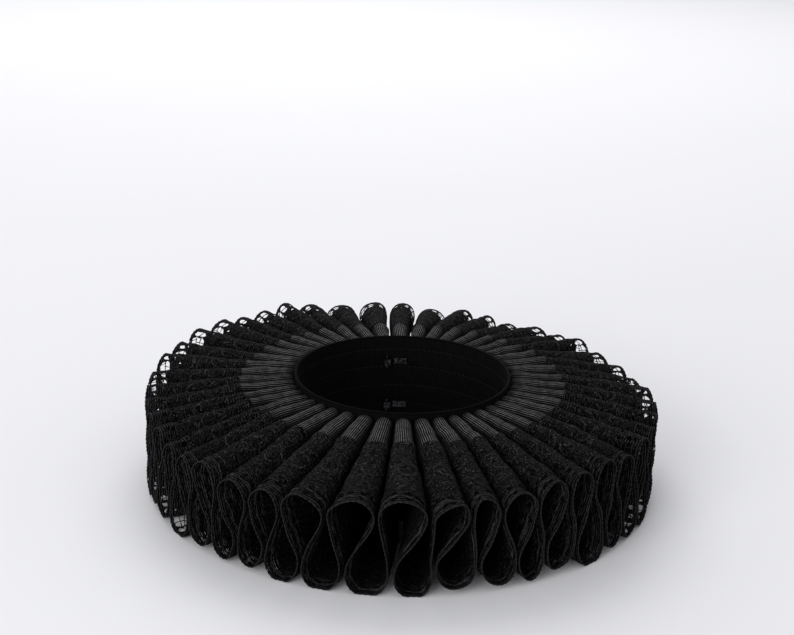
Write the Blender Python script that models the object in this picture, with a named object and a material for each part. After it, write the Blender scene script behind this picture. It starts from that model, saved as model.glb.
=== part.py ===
# Figure-eight ruff collar, lying flat. Metres, +Z up, origin under the middle of the neck.
# A strip of ribbon and lace runs up and down round the neck in deep folds. Each fold has a
# round cap on top, a leg that swings over, and a round cap below.

import bmesh
import bpy
import numpy as np
from math import cos, pi, radians, sin

MM = 0.001

# Driving sizes of the collar
FOLD_COUNT = 46                 # full folds round the ring
NECK_RADIUS = 66.0 * MM         # where the folds are stitched to the neckband
RIBBON_RADIUS = 100.0 * MM      # outer edge of the ribbon, 34 mm further out
RIM_RADIUS = 155.0 * MM         # outer edge of the lace, 55 mm further out
RIBBON_WALL = 1.2 * MM
LACE_WALL = 1.4 * MM
SEAM_GAP = 0.3 * MM             # between two pieces at a seam

# Openwork border of the lace: one large gap in each repeat of the pattern
BORDER_INNER_RADIUS = 144.0 * MM
BORDER_OUTER_RADIUS = 152.4 * MM
GAP_REPEATS = 3                 # repeats of the pattern on one leg of a fold
GAP_SHARE = 0.39                # share of a repeat that the gap takes
GAP_SPANS = (1, 3, 5, 8, 10, 12)  # which of the spans between bends are gaps, from fold to fold
SPANS_IN_FOLD = 15

# Neckband and its closing at the centre back
BAND_THICKNESS = 1.5 * MM
BAND_LOW = 1.0 * MM
BAND_HIGH = 68.0 * MM
BAND_SIDES = 60
SLIT = 0.8 * MM                 # between the two ends of the band and of the strip
CATCH_GAP = 0.4 * MM            # hooks and bars to the band's inner face
CATCH_HEIGHTS = {"upper": 51.0 * MM, "lower": 21.0 * MM}
HOOK_HALF_WIDTH = 2.0 * MM
HOOK_OUTLINE = (                # seen from above, in mm: along the band from the slit, and inwards
    (-9.0, 0.0), (-4.5, 0.0), (0.0, 0.0), (2.2, 2.7), (5.3, 2.7), (5.3, 1.0),
    (6.1, 1.0), (6.1, 3.5), (1.8, 3.5), (-0.4, 0.8), (-4.5, 0.8), (-9.0, 0.8),
)
BAR_PLACE = 3.6 * MM            # along the band from the slit to the bar's near side
BAR_REACH = 2.8 * MM            # how far the bar stands inwards from the band's face
BAR_HALF_HEIGHT = 4.0 * MM
BAR_THICKNESS = 1.2 * MM

# Looks of the plain solids: colour, roughness and sheen
CLOTH_LOOKS = {
    "ribbed ribbon": ((0.020, 0.020, 0.022), 0.55, 0.3),
    "dense lace": ((0.016, 0.016, 0.019), 0.85, 0.2),
    "neck tape": ((0.014, 0.014, 0.015), 0.80, 0.1),
}
METAL_COLOUR = (0.10, 0.10, 0.11)
METAL_ROUGHNESS = 0.35

# Bearings: fold 17 is at the front, folds are counted anticlockwise from above
FRONT_FOLD = 17
FRONT_BEARING = radians(270.2)
FOLD_ANGLE = 2 * pi / FOLD_COUNT
FIRST_FOLD = -5                 # the strip starts and ends below, between folds 40 and -5
LAST_FOLD = FIRST_FOLD + FOLD_COUNT - 1

# How the folds stand at three radii, in mm: the clear width between two crests and between
# two lower lobes, the height of each round cap, and the height of crest and lower lobe.
# At the rim the last two come from the fold's own row.
RING_COLUMNS = ("radius", "crest_gap", "low_gap", "crest_cap", "low_cap", "crest", "low")
RINGS = {
    "neck":   (66.0, 2.5, 4.7, 3.2, 2.6, 66.5, 1.5),
    "ribbon": (100.0, 3.6, 6.5, 5.2, 4.2, 65.0, 0.4),
    "rim":    (155.0, 2.9, 4.6, 10.0, 12.5, None, None),
}

# The folds at the rim, one row each: how far the crest and the lower lobe after it have swung
# round the ring, as a share of a fold, the height of the crest in mm, and the lift of the
# lower lobe off the table in mm (None where it lies flat on the table).
FOLD_COLUMNS = ("crest_swing", "low_swing", "crest_height", "low_lift")
FOLDS = {
    -5: (-0.10, 0.05, 61.0, None),
    -4: (0.12, 0.20, 60.0, 3.0),
    -3: (0.16, 0.02, 62.5, 1.5),
    -2: (0.11, -0.10, 66.0, None),
    -1: (-0.19, -0.15, 63.5, 2.5),
    0: (-0.24, -0.35, 62.0, 4.0),
    1: (-0.43, -0.30, 65.0, None),
    2: (-0.21, -0.20, 64.5, 3.0),
    3: (-0.26, -0.12, 62.5, 1.0),
    4: (-0.10, 0.06, 62.5, None),
    5: (0.10, 0.12, 60.0, 3.5),
    6: (0.05, -0.08, 58.0, 1.5),
    7: (-0.15, -0.20, 57.0, None),
    8: (-0.12, -0.28, 56.0, 2.0),
    9: (-0.20, -0.47, 55.0, 1.0),
    10: (-0.36, -0.39, 52.5, None),
    11: (-0.62, -0.34, 51.0, 2.0),
    12: (-0.71, -0.42, 55.0, 1.0),
    13: (-0.64, -0.56, 51.0, 2.0),
    14: (-0.58, -0.61, 52.0, None),
    15: (-0.66, -0.54, 53.0, None),
    16: (-0.19, -0.32, 54.5, None),
    17: (0.01, -0.10, 56.0, None),
    18: (0.51, -0.10, 53.5, 3.0),
    19: (0.11, 0.19, 56.0, 2.5),
    20: (0.11, 0.04, 55.5, 1.5),
    21: (0.22, -0.19, 58.5, 4.5),
    22: (0.01, 0.14, 59.0, None),
    23: (0.01, 0.10, 61.0, 2.0),
    24: (-0.09, -0.04, 57.0, 1.0),
    25: (0.08, 0.14, 58.5, None),
    26: (0.16, 0.02, 56.5, 3.0),
    27: (-0.06, -0.10, 58.0, 4.5),
    28: (-0.02, 0.10, 56.5, None),
    29: (0.17, 0.30, 55.5, 2.0),
    30: (0.53, 0.36, 52.0, 3.5),
    31: (0.40, 0.46, 52.5, None),
    32: (0.67, 0.52, 53.5, 1.5),
    33: (0.50, 0.30, 58.0, 3.0),
    34: (0.32, 0.40, 55.0, None),
    35: (0.32, 0.20, 56.0, 2.5),
    36: (0.33, 0.24, 54.0, 1.0),
    37: (0.14, 0.02, 57.0, None),
    38: (-0.10, -0.14, 59.0, 3.5),
    39: (0.08, 0.12, 57.5, 2.0),
    40: (0.04, 0.05, 60.5, None),
}
RIBBON_TURN = 0.12              # further in, the folds have swung round the ring by this share of a fold
EVENED_FOLDS = 2                # and by the mean crest swing of this many folds on each side
FLAT_DROP = 1.5 * MM            # how far a lobe that lies on the table is pressed flat, at the rim
FLAT_SHARES = (0.0, 0.7, 1.0)   # share of that at the neck, the ribbon's edge and the rim
FLAT_HALF_WIDTH = 0.036         # half the flat's width, as a share of the strip in half a fold

# Where the strip is bent, along half a fold: 0 to 1 is the crest's cap, 1 to 2 the leg,
# 2 to 3 the lower lobe's cap. The lace has no bend in the middle of a lower lobe.
LOWEST_STATION = 3.0
RIBBON_STATIONS = np.array([0.0, 0.5, 1.0, 2.0, 2.5, LOWEST_STATION])
LACE_SEAM_STATIONS = np.array([0.0, 0.5, 1.0, 1.37, 1.63, 2.0, 2.35, 2.7])
MEASURING_STATIONS = np.linspace(0.0, LOWEST_STATION, 121)


def clear_scene():
    for thing in list(bpy.data.objects):
        bpy.data.objects.remove(thing, do_unlink=True)


def cloth_material(name, colour, roughness, sheen):
    material = bpy.data.materials.new(name)
    material.use_nodes = True
    shader = material.node_tree.nodes["Principled BSDF"]
    shader.inputs["Base Color"].default_value = (*colour, 1.0)
    shader.inputs["Roughness"].default_value = roughness
    shader.inputs["Sheen Weight"].default_value = sheen
    material.diffuse_color = (*colour, 1.0)
    return material


def metal_material(name, colour, roughness):
    material = cloth_material(name, colour, roughness, 0.0)
    material.node_tree.nodes["Principled BSDF"].inputs["Metallic"].default_value = 1.0
    return material


def mesh_object(name, points, faces, material):
    mesh = bpy.data.meshes.new(name)
    mesh.from_pydata([tuple(point) for point in points], [], faces)
    mesh.validate()
    mesh.update()
    mesh.materials.append(material)
    thing = bpy.data.objects.new(name, mesh)
    bpy.context.scene.collection.objects.link(thing)
    return thing


def ring_value(column, radius):
    """A column of the ring table at any radius, on straight lines between its three rows."""
    place = RING_COLUMNS.index(column)
    rows = sorted(row for row in RINGS.values() if row[place] is not None)
    return np.interp(radius / MM, [row[0] for row in rows], [row[place] for row in rows]) * MM


def fold_value(column, fold):
    """A column of the fold table, for a fold counted any number of turns round the ring."""
    row = FOLDS[(fold - FIRST_FOLD) % FOLD_COUNT + FIRST_FOLD]
    return row[FOLD_COLUMNS.index(column)]


def rim_share(radius):
    """0 as far as the ribbon's outer edge, 1 at the rim."""
    return max(0.0, (radius - RIBBON_RADIUS) / (RIM_RADIUS - RIBBON_RADIUS))


def ribbon_swing(fold):
    """How far a fold has swung round the ring as far as the ribbon's outer edge."""
    near = range(fold - EVENED_FOLDS, fold + EVENED_FOLDS + 1)
    return RIBBON_TURN + np.mean([fold_value("crest_swing", number) for number in near])


def crest_place(fold, radius):
    share = rim_share(radius)
    return fold + (1 - share) * ribbon_swing(fold) + share * fold_value("crest_swing", fold)


def low_place(fold, radius):
    share = rim_share(radius)
    between = (ribbon_swing(fold) + ribbon_swing(fold + 1)) / 2
    return fold + 0.5 + (1 - share) * between + share * fold_value("low_swing", fold)


def crest_height(fold, radius):
    share = rim_share(radius)
    return (1 - share) * ring_value("crest", radius) + share * fold_value("crest_height", fold) * MM


def low_height(fold, radius, wall):
    """Lowest point of the strip's middle line. A flat lobe would go below the table's plane."""
    lift = fold_value("low_lift", fold)
    base = ring_value("low", radius) + wall / 2
    if lift is None:
        rows = (NECK_RADIUS, RIBBON_RADIUS, RIM_RADIUS)
        return base - FLAT_DROP * np.interp(radius, rows, FLAT_SHARES)
    return base + rim_share(radius) * lift * MM


def half_fold(fold, side, radius, wall, stations):
    """Middle line of half a fold at one radius: distance round the ring from fold 0, and height.

    side is 1 for the leg after the crest and -1 for the leg before it. Crest and lower lobe are
    quarter ellipses, and the leg between them is a smooth step that ends upright at each cap.
    """
    pitch = FOLD_ANGLE * radius
    low_fold = fold if side > 0 else fold - 1
    crest, low = crest_place(fold, radius), low_place(low_fold, radius)
    crest_edge = (crest + crest_place(fold + side, radius)) / 2 * pitch
    low_edge = (low + low_place(low_fold - side, radius)) / 2 * pitch
    crest_x, low_x = crest * pitch, low * pitch
    crest_reach = crest_edge - side * ring_value("crest_gap", radius) / 2 - crest_x
    low_reach = low_edge + side * ring_value("low_gap", radius) / 2 - low_x
    crest_z = crest_height(fold, radius) - wall / 2
    low_z = low_height(low_fold, radius, wall)
    crest_cap, low_cap = ring_value("crest_cap", radius), ring_value("low_cap", radius)

    crest_turn = np.clip(stations, 0, 1) * pi / 2
    leg = np.clip(stations - 1, 0, 1)
    low_turn = np.clip(3 - stations, 0, 1) * pi / 2
    step = leg * leg * (3 - 2 * leg)
    leg_x = (1 - step) * (crest_x + crest_reach) + step * (low_x + low_reach)
    leg_z = (1 - leg) * (crest_z - crest_cap) + leg * (low_z + low_cap)
    x = np.where(stations < 1, crest_x + crest_reach * np.sin(crest_turn), leg_x)
    x = np.where(stations > 2, low_x + low_reach * np.sin(low_turn), x)
    z = np.where(stations < 1, crest_z - crest_cap * (1 - np.cos(crest_turn)), leg_z)
    z = np.where(stations > 2, low_z + low_cap * (1 - np.cos(low_turn)), z)
    return x, np.maximum(z, wall / 2)


def lace_shares():
    """Shares of half a fold's length where the lace bends: its crest, the gaps' edges, its flat."""
    middles = (np.arange(GAP_REPEATS) + 0.5) / GAP_REPEATS
    half_gap = GAP_SHARE / GAP_REPEATS / 2
    edges = np.sort(np.concatenate([middles - half_gap, middles + half_gap]))
    return np.concatenate([[0.0], edges, [1.0 - FLAT_HALF_WIDTH]])


def stations_at_shares(fold, side, radius, wall, shares):
    """The stations that part the strip's own length into the given shares."""
    x, z = half_fold(fold, side, radius, wall, MEASURING_STATIONS)
    lengths = np.concatenate([[0.0], np.cumsum(np.hypot(np.diff(x), np.diff(z)))])
    return np.interp(shares * lengths[-1], lengths, MEASURING_STATIONS)


def ribbon_bends(fold, side, radius, wall):
    return RIBBON_STATIONS


def lace_bends(fold, side, radius, wall):
    """At the seam the lace bends where the ribbon does, further out at the edges of its gaps."""
    if radius <= RIBBON_RADIUS + SEAM_GAP:
        return LACE_SEAM_STATIONS
    return stations_at_shares(fold, side, radius, wall, lace_shares())


def strip_line(folds, radius, wall, bends):
    """Middle line of the strip over several folds, from lower lobe to lower lobe."""
    xs, zs = [], []
    for fold in folds:
        for side in (-1, 1):
            stations = bends(fold, side, radius, wall)
            at_end = (fold, side) in ((folds[0], -1), (folds[-1], 1))
            if at_end and stations[-1] < LOWEST_STATION:
                stations = np.append(stations, LOWEST_STATION)
            if not at_end and side < 0 and stations[-1] == LOWEST_STATION:
                stations = stations[:-1]
            x, z = half_fold(fold, side, radius, wall, stations)
            xs.append(x[::-1] if side < 0 else x[1:])
            zs.append(z[::-1] if side < 0 else z[1:])
    return np.concatenate(xs), np.concatenate(zs)


def offset_line(x, z, distance):
    """The line moved sideways by a distance, each corner on the lines beside it.

    Both ends lie in the middle of a lower lobe, so they are cut upright, as if it went on.
    """
    along = np.stack([np.diff(x), np.diff(z)], axis=1)
    along /= np.linalg.norm(along, axis=1)[:, None]
    normal = np.stack([-along[:, 1], along[:, 0]], axis=1)
    before = np.vstack([normal[:1] * (-1, 1), normal])
    after = np.vstack([normal, normal[-1:] * (-1, 1)])
    corner = before + after
    corner /= (1 + np.sum(before * after, axis=1))[:, None]
    return x + distance * corner[:, 0], z + distance * corner[:, 1]


def on_ring(x, z, radius):
    """Points at a radius, from distances round the ring counted from fold 0."""
    bearing = FRONT_BEARING + x / radius - FRONT_FOLD * FOLD_ANGLE
    return np.stack([radius * np.cos(bearing), radius * np.sin(bearing), z], axis=1)


def wall_faces(rows, columns, is_gap):
    """Faces of a closed wall over a grid: both skins, the walls of its gaps, and its four edges.

    Every cell is split along the same diagonal on both skins, so that the skins stay apart.
    """
    def corner(skin, row, column):
        return (skin * rows + row) * columns + column

    def solid(row, column):
        inside = 0 <= row < rows - 1 and 0 <= column < columns - 1
        return inside and not is_gap(row, column)

    faces = []
    for row in range(rows - 1):
        for column in range(columns - 1):
            if not solid(row, column):
                continue
            for skin in (0, 1):
                a, b = corner(skin, row, column), corner(skin, row, column + 1)
                c, d = corner(skin, row + 1, column + 1), corner(skin, row + 1, column)
                faces += [(a, b, c), (a, c, d)] if skin else [(a, c, b), (a, d, c)]
            sides = (
                (row - 1, column, (row, column), (row, column + 1)),
                (row, column + 1, (row, column + 1), (row + 1, column + 1)),
                (row + 1, column, (row + 1, column + 1), (row + 1, column)),
                (row, column - 1, (row + 1, column), (row, column)),
            )
            for near_row, near_column, start, end in sides:
                if not solid(near_row, near_column):
                    faces.append((corner(0, *start), corner(0, *end),
                                  corner(1, *end), corner(1, *start)))
    return faces


def cloth_strip(name, folds, radii, wall, material, bends, slits, is_gap):
    """A stretch of the strip: its middle line at each radius, moved half a wall to each side.

    No skin goes below the table's plane.
    """
    skins = []
    for direction in (1, -1):
        skin = []
        for radius in radii:
            x, z = strip_line(folds, radius, wall, bends)
            x[0] += slits[0] / 2
            x[-1] -= slits[1] / 2
            skin_x, skin_z = offset_line(x, z, direction * wall / 2)
            skin.append(on_ring(skin_x, np.maximum(skin_z, 0.0), radius))
        skins.append(skin)
    columns = len(skins[0][0])
    points = np.array(skins).reshape(-1, 3)
    return mesh_object(name, points, wall_faces(len(radii), columns, is_gap), material)


def ribbon_ruffle(material):
    folds = range(FIRST_FOLD, LAST_FOLD + 1)
    return cloth_strip("ribbon_ruffle", folds, (NECK_RADIUS, RIBBON_RADIUS), RIBBON_WALL, material,
                       ribbon_bends, (SLIT, SLIT), lambda row, column: False)


def lace_ruffle(name, folds, slits, material):
    radii = (RIBBON_RADIUS + SEAM_GAP, BORDER_INNER_RADIUS, BORDER_OUTER_RADIUS, RIM_RADIUS)
    border_row = radii.index(BORDER_INNER_RADIUS)

    def is_gap(row, column):
        return row == border_row and (column - 1) % SPANS_IN_FOLD in GAP_SPANS

    return cloth_strip(name, folds, radii, LACE_WALL, material, lace_bends, slits, is_gap)


def band_frame():
    """Bearing of the slit, and the radii of the band's two faces."""
    slit_bearing = FRONT_BEARING + (low_place(LAST_FOLD, NECK_RADIUS) - FRONT_FOLD) * FOLD_ANGLE
    outer = NECK_RADIUS - SEAM_GAP
    return slit_bearing, outer - BAND_THICKNESS, outer


def neckband(material):
    """An upright tape round the neck, open at the centre back."""
    slit_bearing, inner, outer = band_frame()
    half_slit = SLIT / 2 / outer
    bearings = np.linspace(slit_bearing + half_slit, slit_bearing + 2 * pi - half_slit, BAND_SIDES + 1)
    points = [(radius * cos(bearing), radius * sin(bearing), height)
              for bearing in bearings
              for radius, height in ((inner, BAND_LOW), (outer, BAND_LOW),
                                     (outer, BAND_HIGH), (inner, BAND_HIGH))]
    faces = [(0, 1, 2, 3), tuple(4 * BAND_SIDES + corner for corner in (3, 2, 1, 0))]
    for side in range(BAND_SIDES):
        for corner in range(4):
            a, b = 4 * side + corner, 4 * side + (corner + 1) % 4
            faces.append((b, a, a + 4, b + 4))
    return mesh_object("neckband", points, faces, material)


def catch_piece(name, outline, low, high, to_ring, material):
    """A small prism: an outline carried from one plane to another, then bent round the band."""
    count = len(outline)
    points = [to_ring(a, b, level) for level in (low, high) for a, b in outline]
    faces = [tuple(range(count))[::-1], tuple(range(count, 2 * count))]
    faces += [(i, (i + 1) % count, (i + 1) % count + count, i + count) for i in range(count)]
    return mesh_object(name, points, faces, material)


def hook_and_bar(level_name, height, material):
    """A flat hook on one end of the band, round an upright bar on the other end."""
    slit_bearing, band_inner, _ = band_frame()

    def place(along, inward, up):
        bearing = slit_bearing + along / band_inner
        radius = band_inner - inward
        return radius * cos(bearing), radius * sin(bearing), height + up

    hook = [(along * MM, CATCH_GAP + inward * MM) for along, inward in HOOK_OUTLINE]
    hook_piece = catch_piece(f"hook_{level_name}", hook, -HOOK_HALF_WIDTH, HOOK_HALF_WIDTH,
                             place, material)

    # Outline of the bar seen from the side: a staple with two feet on the band
    half, foot, back = BAR_HALF_HEIGHT, BAR_HALF_HEIGHT - BAR_THICKNESS, BAR_REACH - BAR_THICKNESS
    bar = [(CATCH_GAP, -half), (BAR_REACH, -half), (BAR_REACH, half), (CATCH_GAP, half),
           (CATCH_GAP, foot), (back, foot), (back, -foot), (CATCH_GAP, -foot)]
    bar_piece = catch_piece(f"bar_{level_name}", bar, BAR_PLACE, BAR_PLACE + BAR_THICKNESS,
                            lambda inward, up, along: place(along, inward, up), material)
    return hook_piece, bar_piece


def recalculate_outside(thing):
    """Turn every face of a closed piece outwards."""
    shape = bmesh.new()
    shape.from_mesh(thing.data)
    bmesh.ops.recalc_face_normals(shape, faces=shape.faces)
    shape.to_mesh(thing.data)
    shape.free()


def build_collar():
    clear_scene()
    ribbon_black, lace_black, band_black = (cloth_material(name, *look)
                                            for name, look in CLOTH_LOOKS.items())
    catch_metal = metal_material("blackened metal", METAL_COLOUR, METAL_ROUGHNESS)

    pieces = [ribbon_ruffle(ribbon_black)]
    left = range(FIRST_FOLD, FRONT_FOLD + 1)
    right = range(FRONT_FOLD + 1, LAST_FOLD + 1)
    pieces.append(lace_ruffle("lace_left", left, (SLIT, SEAM_GAP), lace_black))
    pieces.append(lace_ruffle("lace_right", right, (SEAM_GAP, SLIT), lace_black))
    pieces.append(neckband(band_black))
    for level_name, height in CATCH_HEIGHTS.items():
        pieces.extend(hook_and_bar(level_name, height, catch_metal))
    for piece in pieces:
        recalculate_outside(piece)
    return pieces


build_collar()
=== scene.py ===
# Figure-eight ruff: ribbed ribbon and lace in deep folds round a neckband, lying on a table.
from math import cos, pi, radians, sin

import bpy
import numpy as np
from mathutils import Matrix, Vector


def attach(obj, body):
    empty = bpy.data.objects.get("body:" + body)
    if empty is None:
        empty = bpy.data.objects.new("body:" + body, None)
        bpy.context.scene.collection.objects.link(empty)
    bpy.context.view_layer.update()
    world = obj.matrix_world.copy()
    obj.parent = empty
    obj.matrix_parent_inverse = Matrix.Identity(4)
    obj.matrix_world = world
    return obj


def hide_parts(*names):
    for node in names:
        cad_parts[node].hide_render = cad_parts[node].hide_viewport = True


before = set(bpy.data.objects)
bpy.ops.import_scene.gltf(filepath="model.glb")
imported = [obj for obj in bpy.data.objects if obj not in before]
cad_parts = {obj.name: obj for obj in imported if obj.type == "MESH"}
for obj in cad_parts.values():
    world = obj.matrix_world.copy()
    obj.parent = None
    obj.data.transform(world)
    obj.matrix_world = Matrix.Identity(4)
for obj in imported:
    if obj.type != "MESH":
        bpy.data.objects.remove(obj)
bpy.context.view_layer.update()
mm = 0.001

# The strip that the whole ruff is folded from, in mm. The rows are the same as the solids'.
strip = {
    "folds": 46,
    "firstFold": -5,            # the slit is below, between folds 40 and -5
    "frontFold": 17,
    "frontBearing": radians(270.2),
    "neckRadius": 66.0,
    "ribbonRadius": 100.0,
    "rimRadius": 155.0,
    "wall": 1.0,                # height that the middle of the cloth keeps from the table, doubled
    "halfLength": 65.6,         # length of the strip in half a fold
    "slit": 0.8,
    "flatDrop": 1.5,            # how far a lower lobe is pressed down where it lies flat
    "endRound": (3.6, 2.6),     # the tubes round down at the neck: over this radius, by this height
    "lowRound": 0.6,            # and round up below, by this share of it
    "waver": 0.42,              # how far the cloth strays from its even form
    "pucker": 0.30,             # and by smaller waves
    "bob": (0.9, 31.7),         # share of it that goes up and down, read so many half folds further on
    "heldHeight": (2.0, 6.0),   # held still below the first height, and free that much above it
    "heldRadius": (70.0, 12.0),     # and the same outwards from the band
    "crowding": 0.36,           # how much closer the columns are at crests and lower lobes
    "ribbonTurn": 0.12,         # as far as the ribbon's edge the folds have turned by this share of one
    "evenedFolds": 2,           # and by the mean crest swing of this many folds on each side
    "seed": 11,
}
rings = {   # radius, clear width at crests and at lower lobes, height of both caps, crest and low
    "radius":   (66.0, 100.0, 155.0),
    "crestGap": (2.5, 3.6, 2.9),
    "lowGap":   (4.0, 4.4, 2.9),
    "crestCap": (3.2, 5.2, 10.0),
    "lowCap":   (2.6, 4.2, 12.5),
    "crest":    (66.5, 65.0, 65.0),
    "low":      (1.5, 0.4, 0.4),
    "flatShare": (0.0, 0.7, 1.0),
}
flat = float("nan")             # a lower lobe that lies flat on the table
foldRows = np.array([           # crest swing, low swing, crest height, lift of the lower lobe
    (-0.10, 0.05, 61.0, flat), (0.12, 0.20, 60.0, 3.0), (0.16, 0.02, 62.5, 1.5),
    (0.11, -0.10, 66.0, flat), (-0.19, -0.15, 63.5, 2.5), (-0.24, -0.35, 62.0, 4.0),
    (-0.43, -0.30, 65.0, flat), (-0.21, -0.20, 64.5, 3.0), (-0.26, -0.12, 62.5, 1.0),
    (-0.10, 0.06, 62.5, flat), (0.10, 0.12, 60.0, 3.5), (0.05, -0.08, 58.0, 1.5),
    (-0.15, -0.20, 57.0, flat), (-0.12, -0.28, 56.0, 2.0), (-0.20, -0.47, 55.0, 1.0),
    (-0.36, -0.39, 52.5, flat), (-0.62, -0.34, 51.0, 2.0), (-0.71, -0.42, 55.0, 1.0),
    (-0.64, -0.56, 51.0, 2.0), (-0.58, -0.61, 52.0, flat), (-0.66, -0.54, 53.0, flat),
    (-0.19, -0.32, 54.5, flat), (0.01, -0.10, 56.0, flat), (0.51, -0.10, 53.5, 3.0),
    (0.11, 0.19, 56.0, 2.5), (0.11, 0.04, 55.5, 1.5), (0.22, -0.19, 58.5, 4.5),
    (0.01, 0.14, 59.0, flat), (0.01, 0.10, 61.0, 2.0), (-0.09, -0.04, 57.0, 1.0),
    (0.08, 0.14, 58.5, flat), (0.16, 0.02, 56.5, 3.0), (-0.06, -0.10, 58.0, 4.5),
    (-0.02, 0.10, 56.5, flat), (0.17, 0.30, 55.5, 2.0), (0.53, 0.36, 52.0, 3.5),
    (0.40, 0.46, 52.5, flat), (0.67, 0.52, 53.5, 1.5), (0.50, 0.30, 58.0, 3.0),
    (0.32, 0.40, 55.0, flat), (0.32, 0.20, 56.0, 2.5), (0.33, 0.24, 54.0, 1.0),
    (0.14, 0.02, 57.0, flat), (-0.10, -0.14, 59.0, 3.5), (0.08, 0.12, 57.5, 2.0),
    (0.04, 0.05, 60.5, flat),
])
halfFolds = 2 * strip["folds"]
foldAngle = 2 * pi / strip["folds"]
nearFolds = range(-strip["evenedFolds"], strip["evenedFolds"] + 1)
ribbonSwing = strip["ribbonTurn"] + np.mean([np.roll(foldRows[:, 0], shift) for shift in nearFolds], axis=0)


# Materials: small helpers first. Lengths in the patterns are metres on each piece's own UV map,
# along the strip and across it.
def newMaterial(name, colour, roughness, specular, metallic=0.0):
    material = bpy.data.materials.new(name)
    material.use_nodes = True
    shader = material.node_tree.nodes["Principled BSDF"]
    shader.inputs["Base Color"].default_value = (*colour, 1.0)
    shader.inputs["Roughness"].default_value = roughness
    shader.inputs["Specular IOR Level"].default_value = specular
    shader.inputs["Metallic"].default_value = metallic
    return material, material.node_tree, shader


def connect(tree, value, socket):
    if isinstance(value, bpy.types.NodeSocket):
        tree.links.new(value, socket)
    else:
        socket.default_value = value


def calc(tree, operation, *values):
    node = tree.nodes.new("ShaderNodeMath")
    node.operation = operation
    for value, socket in zip(values, node.inputs):
        connect(tree, value, socket)
    return node.outputs[0]


def total(tree, *values):
    result = values[0]
    for value in values[1:]:
        result = calc(tree, "ADD", result, value)
    return result


def between(tree, value, low, high, newLow=0.0, newHigh=1.0):
    node = tree.nodes.new("ShaderNodeMapRange")
    node.interpolation_type = "SMOOTHSTEP"
    connect(tree, value, node.inputs["Value"])
    for socket, number in (("From Min", low), ("From Max", high), ("To Min", newLow), ("To Max", newHigh)):
        node.inputs[socket].default_value = number
    return node.outputs["Result"]


def uvPlaces(tree):
    coordinates = tree.nodes.new("ShaderNodeTexCoord")
    parts = tree.nodes.new("ShaderNodeSeparateXYZ")
    tree.links.new(coordinates.outputs["UV"], parts.inputs[0])
    return coordinates.outputs["UV"], parts.outputs["X"], parts.outputs["Y"]


def objectPlaces(tree):
    return tree.nodes.new("ShaderNodeTexCoord").outputs["Object"]


def noiseOn(tree, places, size, detail=2.0):
    node = tree.nodes.new("ShaderNodeTexNoise")
    connect(tree, places, node.inputs["Vector"])
    node.inputs["Scale"].default_value = 1 / size
    node.inputs["Detail"].default_value = detail
    return node.outputs["Fac"]


def cellsOn(tree, places, size):
    node = tree.nodes.new("ShaderNodeTexVoronoi")
    connect(tree, places, node.inputs["Vector"])
    node.inputs["Scale"].default_value = 1 / size
    return node.outputs["Distance"]


def wave(tree, place, pitch):
    # 0 to 1 and back over each pitch: half of one minus the cosine
    turn = calc(tree, "COSINE", calc(tree, "MULTIPLY", place, 2 * pi / pitch))
    return calc(tree, "MULTIPLY_ADD", turn, -0.5, 0.5)


def blendColours(tree, share, first, second, socket):
    node = tree.nodes.new("ShaderNodeMix")
    node.data_type = "RGBA"
    connect(tree, share, node.inputs["Factor"])
    node.inputs[6].default_value = (*first, 1.0)
    node.inputs[7].default_value = (*second, 1.0)
    tree.links.new(node.outputs[2], socket)


def bumpFrom(tree, height, depth, strength, shader):
    node = tree.nodes.new("ShaderNodeBump")
    node.inputs["Distance"].default_value = depth
    node.inputs["Strength"].default_value = strength
    tree.links.new(height, node.inputs["Height"])
    tree.links.new(node.outputs[0], shader.inputs["Normal"])


ribbonLook = {
    # the light rib colour is a painted sheen on the ribs, and the near-black groove colour is painted shade
    # between them
    "groove": (0.0003, 0.0003, 0.0004), "rib": (0.190, 0.1895, 0.190),
    "ribPitch": 1.1 * mm, "ribPower": 1.6, "ribDepth": 0.50 * mm,
    "weftPitch": 0.5 * mm, "weftRelief": 0.12, "unevenRelief": 0.5,
    "paintedNeckShade": (0.5 * mm, 9.0 * mm),       # painted shade, darker by the neck where the ribs are drawn together
    "crestShadeHeights": (61.8 * mm, 65.0 * mm),     # painted shade: the ribs darken down from the crests, so the tops look lit
    "roughness": (0.34, 0.95), "specular": 0.12,
}


def ribbonMaterial():
    # ribs across the ribbon, a wave raised to a power, lit as a painted sheen with painted shade in the grooves,
    # each lighter and darker along its length, with painted shade by the neck and down from the crests, smoother
    # where lighter
    look = ribbonLook
    material, tree, shader = newMaterial("ribbed ribbon", look["rib"], look["roughness"][0], look["specular"])
    places, along, across = uvPlaces(tree)
    rib = calc(tree, "POWER", wave(tree, along, look["ribPitch"]), look["ribPower"])
    weft = wave(tree, across, look["weftPitch"])
    uneven = noiseOn(tree, places, 4 * mm)
    relief = total(tree, rib, calc(tree, "MULTIPLY", weft, look["weftRelief"]),
                   calc(tree, "MULTIPLY", uneven, look["unevenRelief"]))
    # uneven tone by noise, times painted shade by the neck
    wearAndPaintedShade = calc(tree, "MULTIPLY", between(tree, uneven, 0.3, 0.7, 0.45, 1.1),
                between(tree, across, *look["paintedNeckShade"], 0.15, 1.0))
    # painted shade: darker down from the crests by height, lighter on the tops as if lit
    parts = tree.nodes.new("ShaderNodeSeparateXYZ")
    tree.links.new(objectPlaces(tree), parts.inputs[0])
    wearAndPaintedShade = calc(tree, "MULTIPLY", wearAndPaintedShade, between(tree, parts.outputs["Z"], *look["crestShadeHeights"], 0.10, 1.0))
    # the rib wave as a painted sheen on the ribs and painted shade in the grooves, darkened by the painted shades
    # above
    share = calc(tree, "MULTIPLY", between(tree, rib, 0.5, 1.2), wearAndPaintedShade)
    blendColours(tree, share, look["groove"], look["rib"], shader.inputs["Base Color"])
    connect(tree, between(tree, share, 0.05, 0.7, *reversed(look["roughness"])), shader.inputs["Roughness"])
    bumpFrom(tree, relief, look["ribDepth"], 0.9, shader)
    return material


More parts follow.
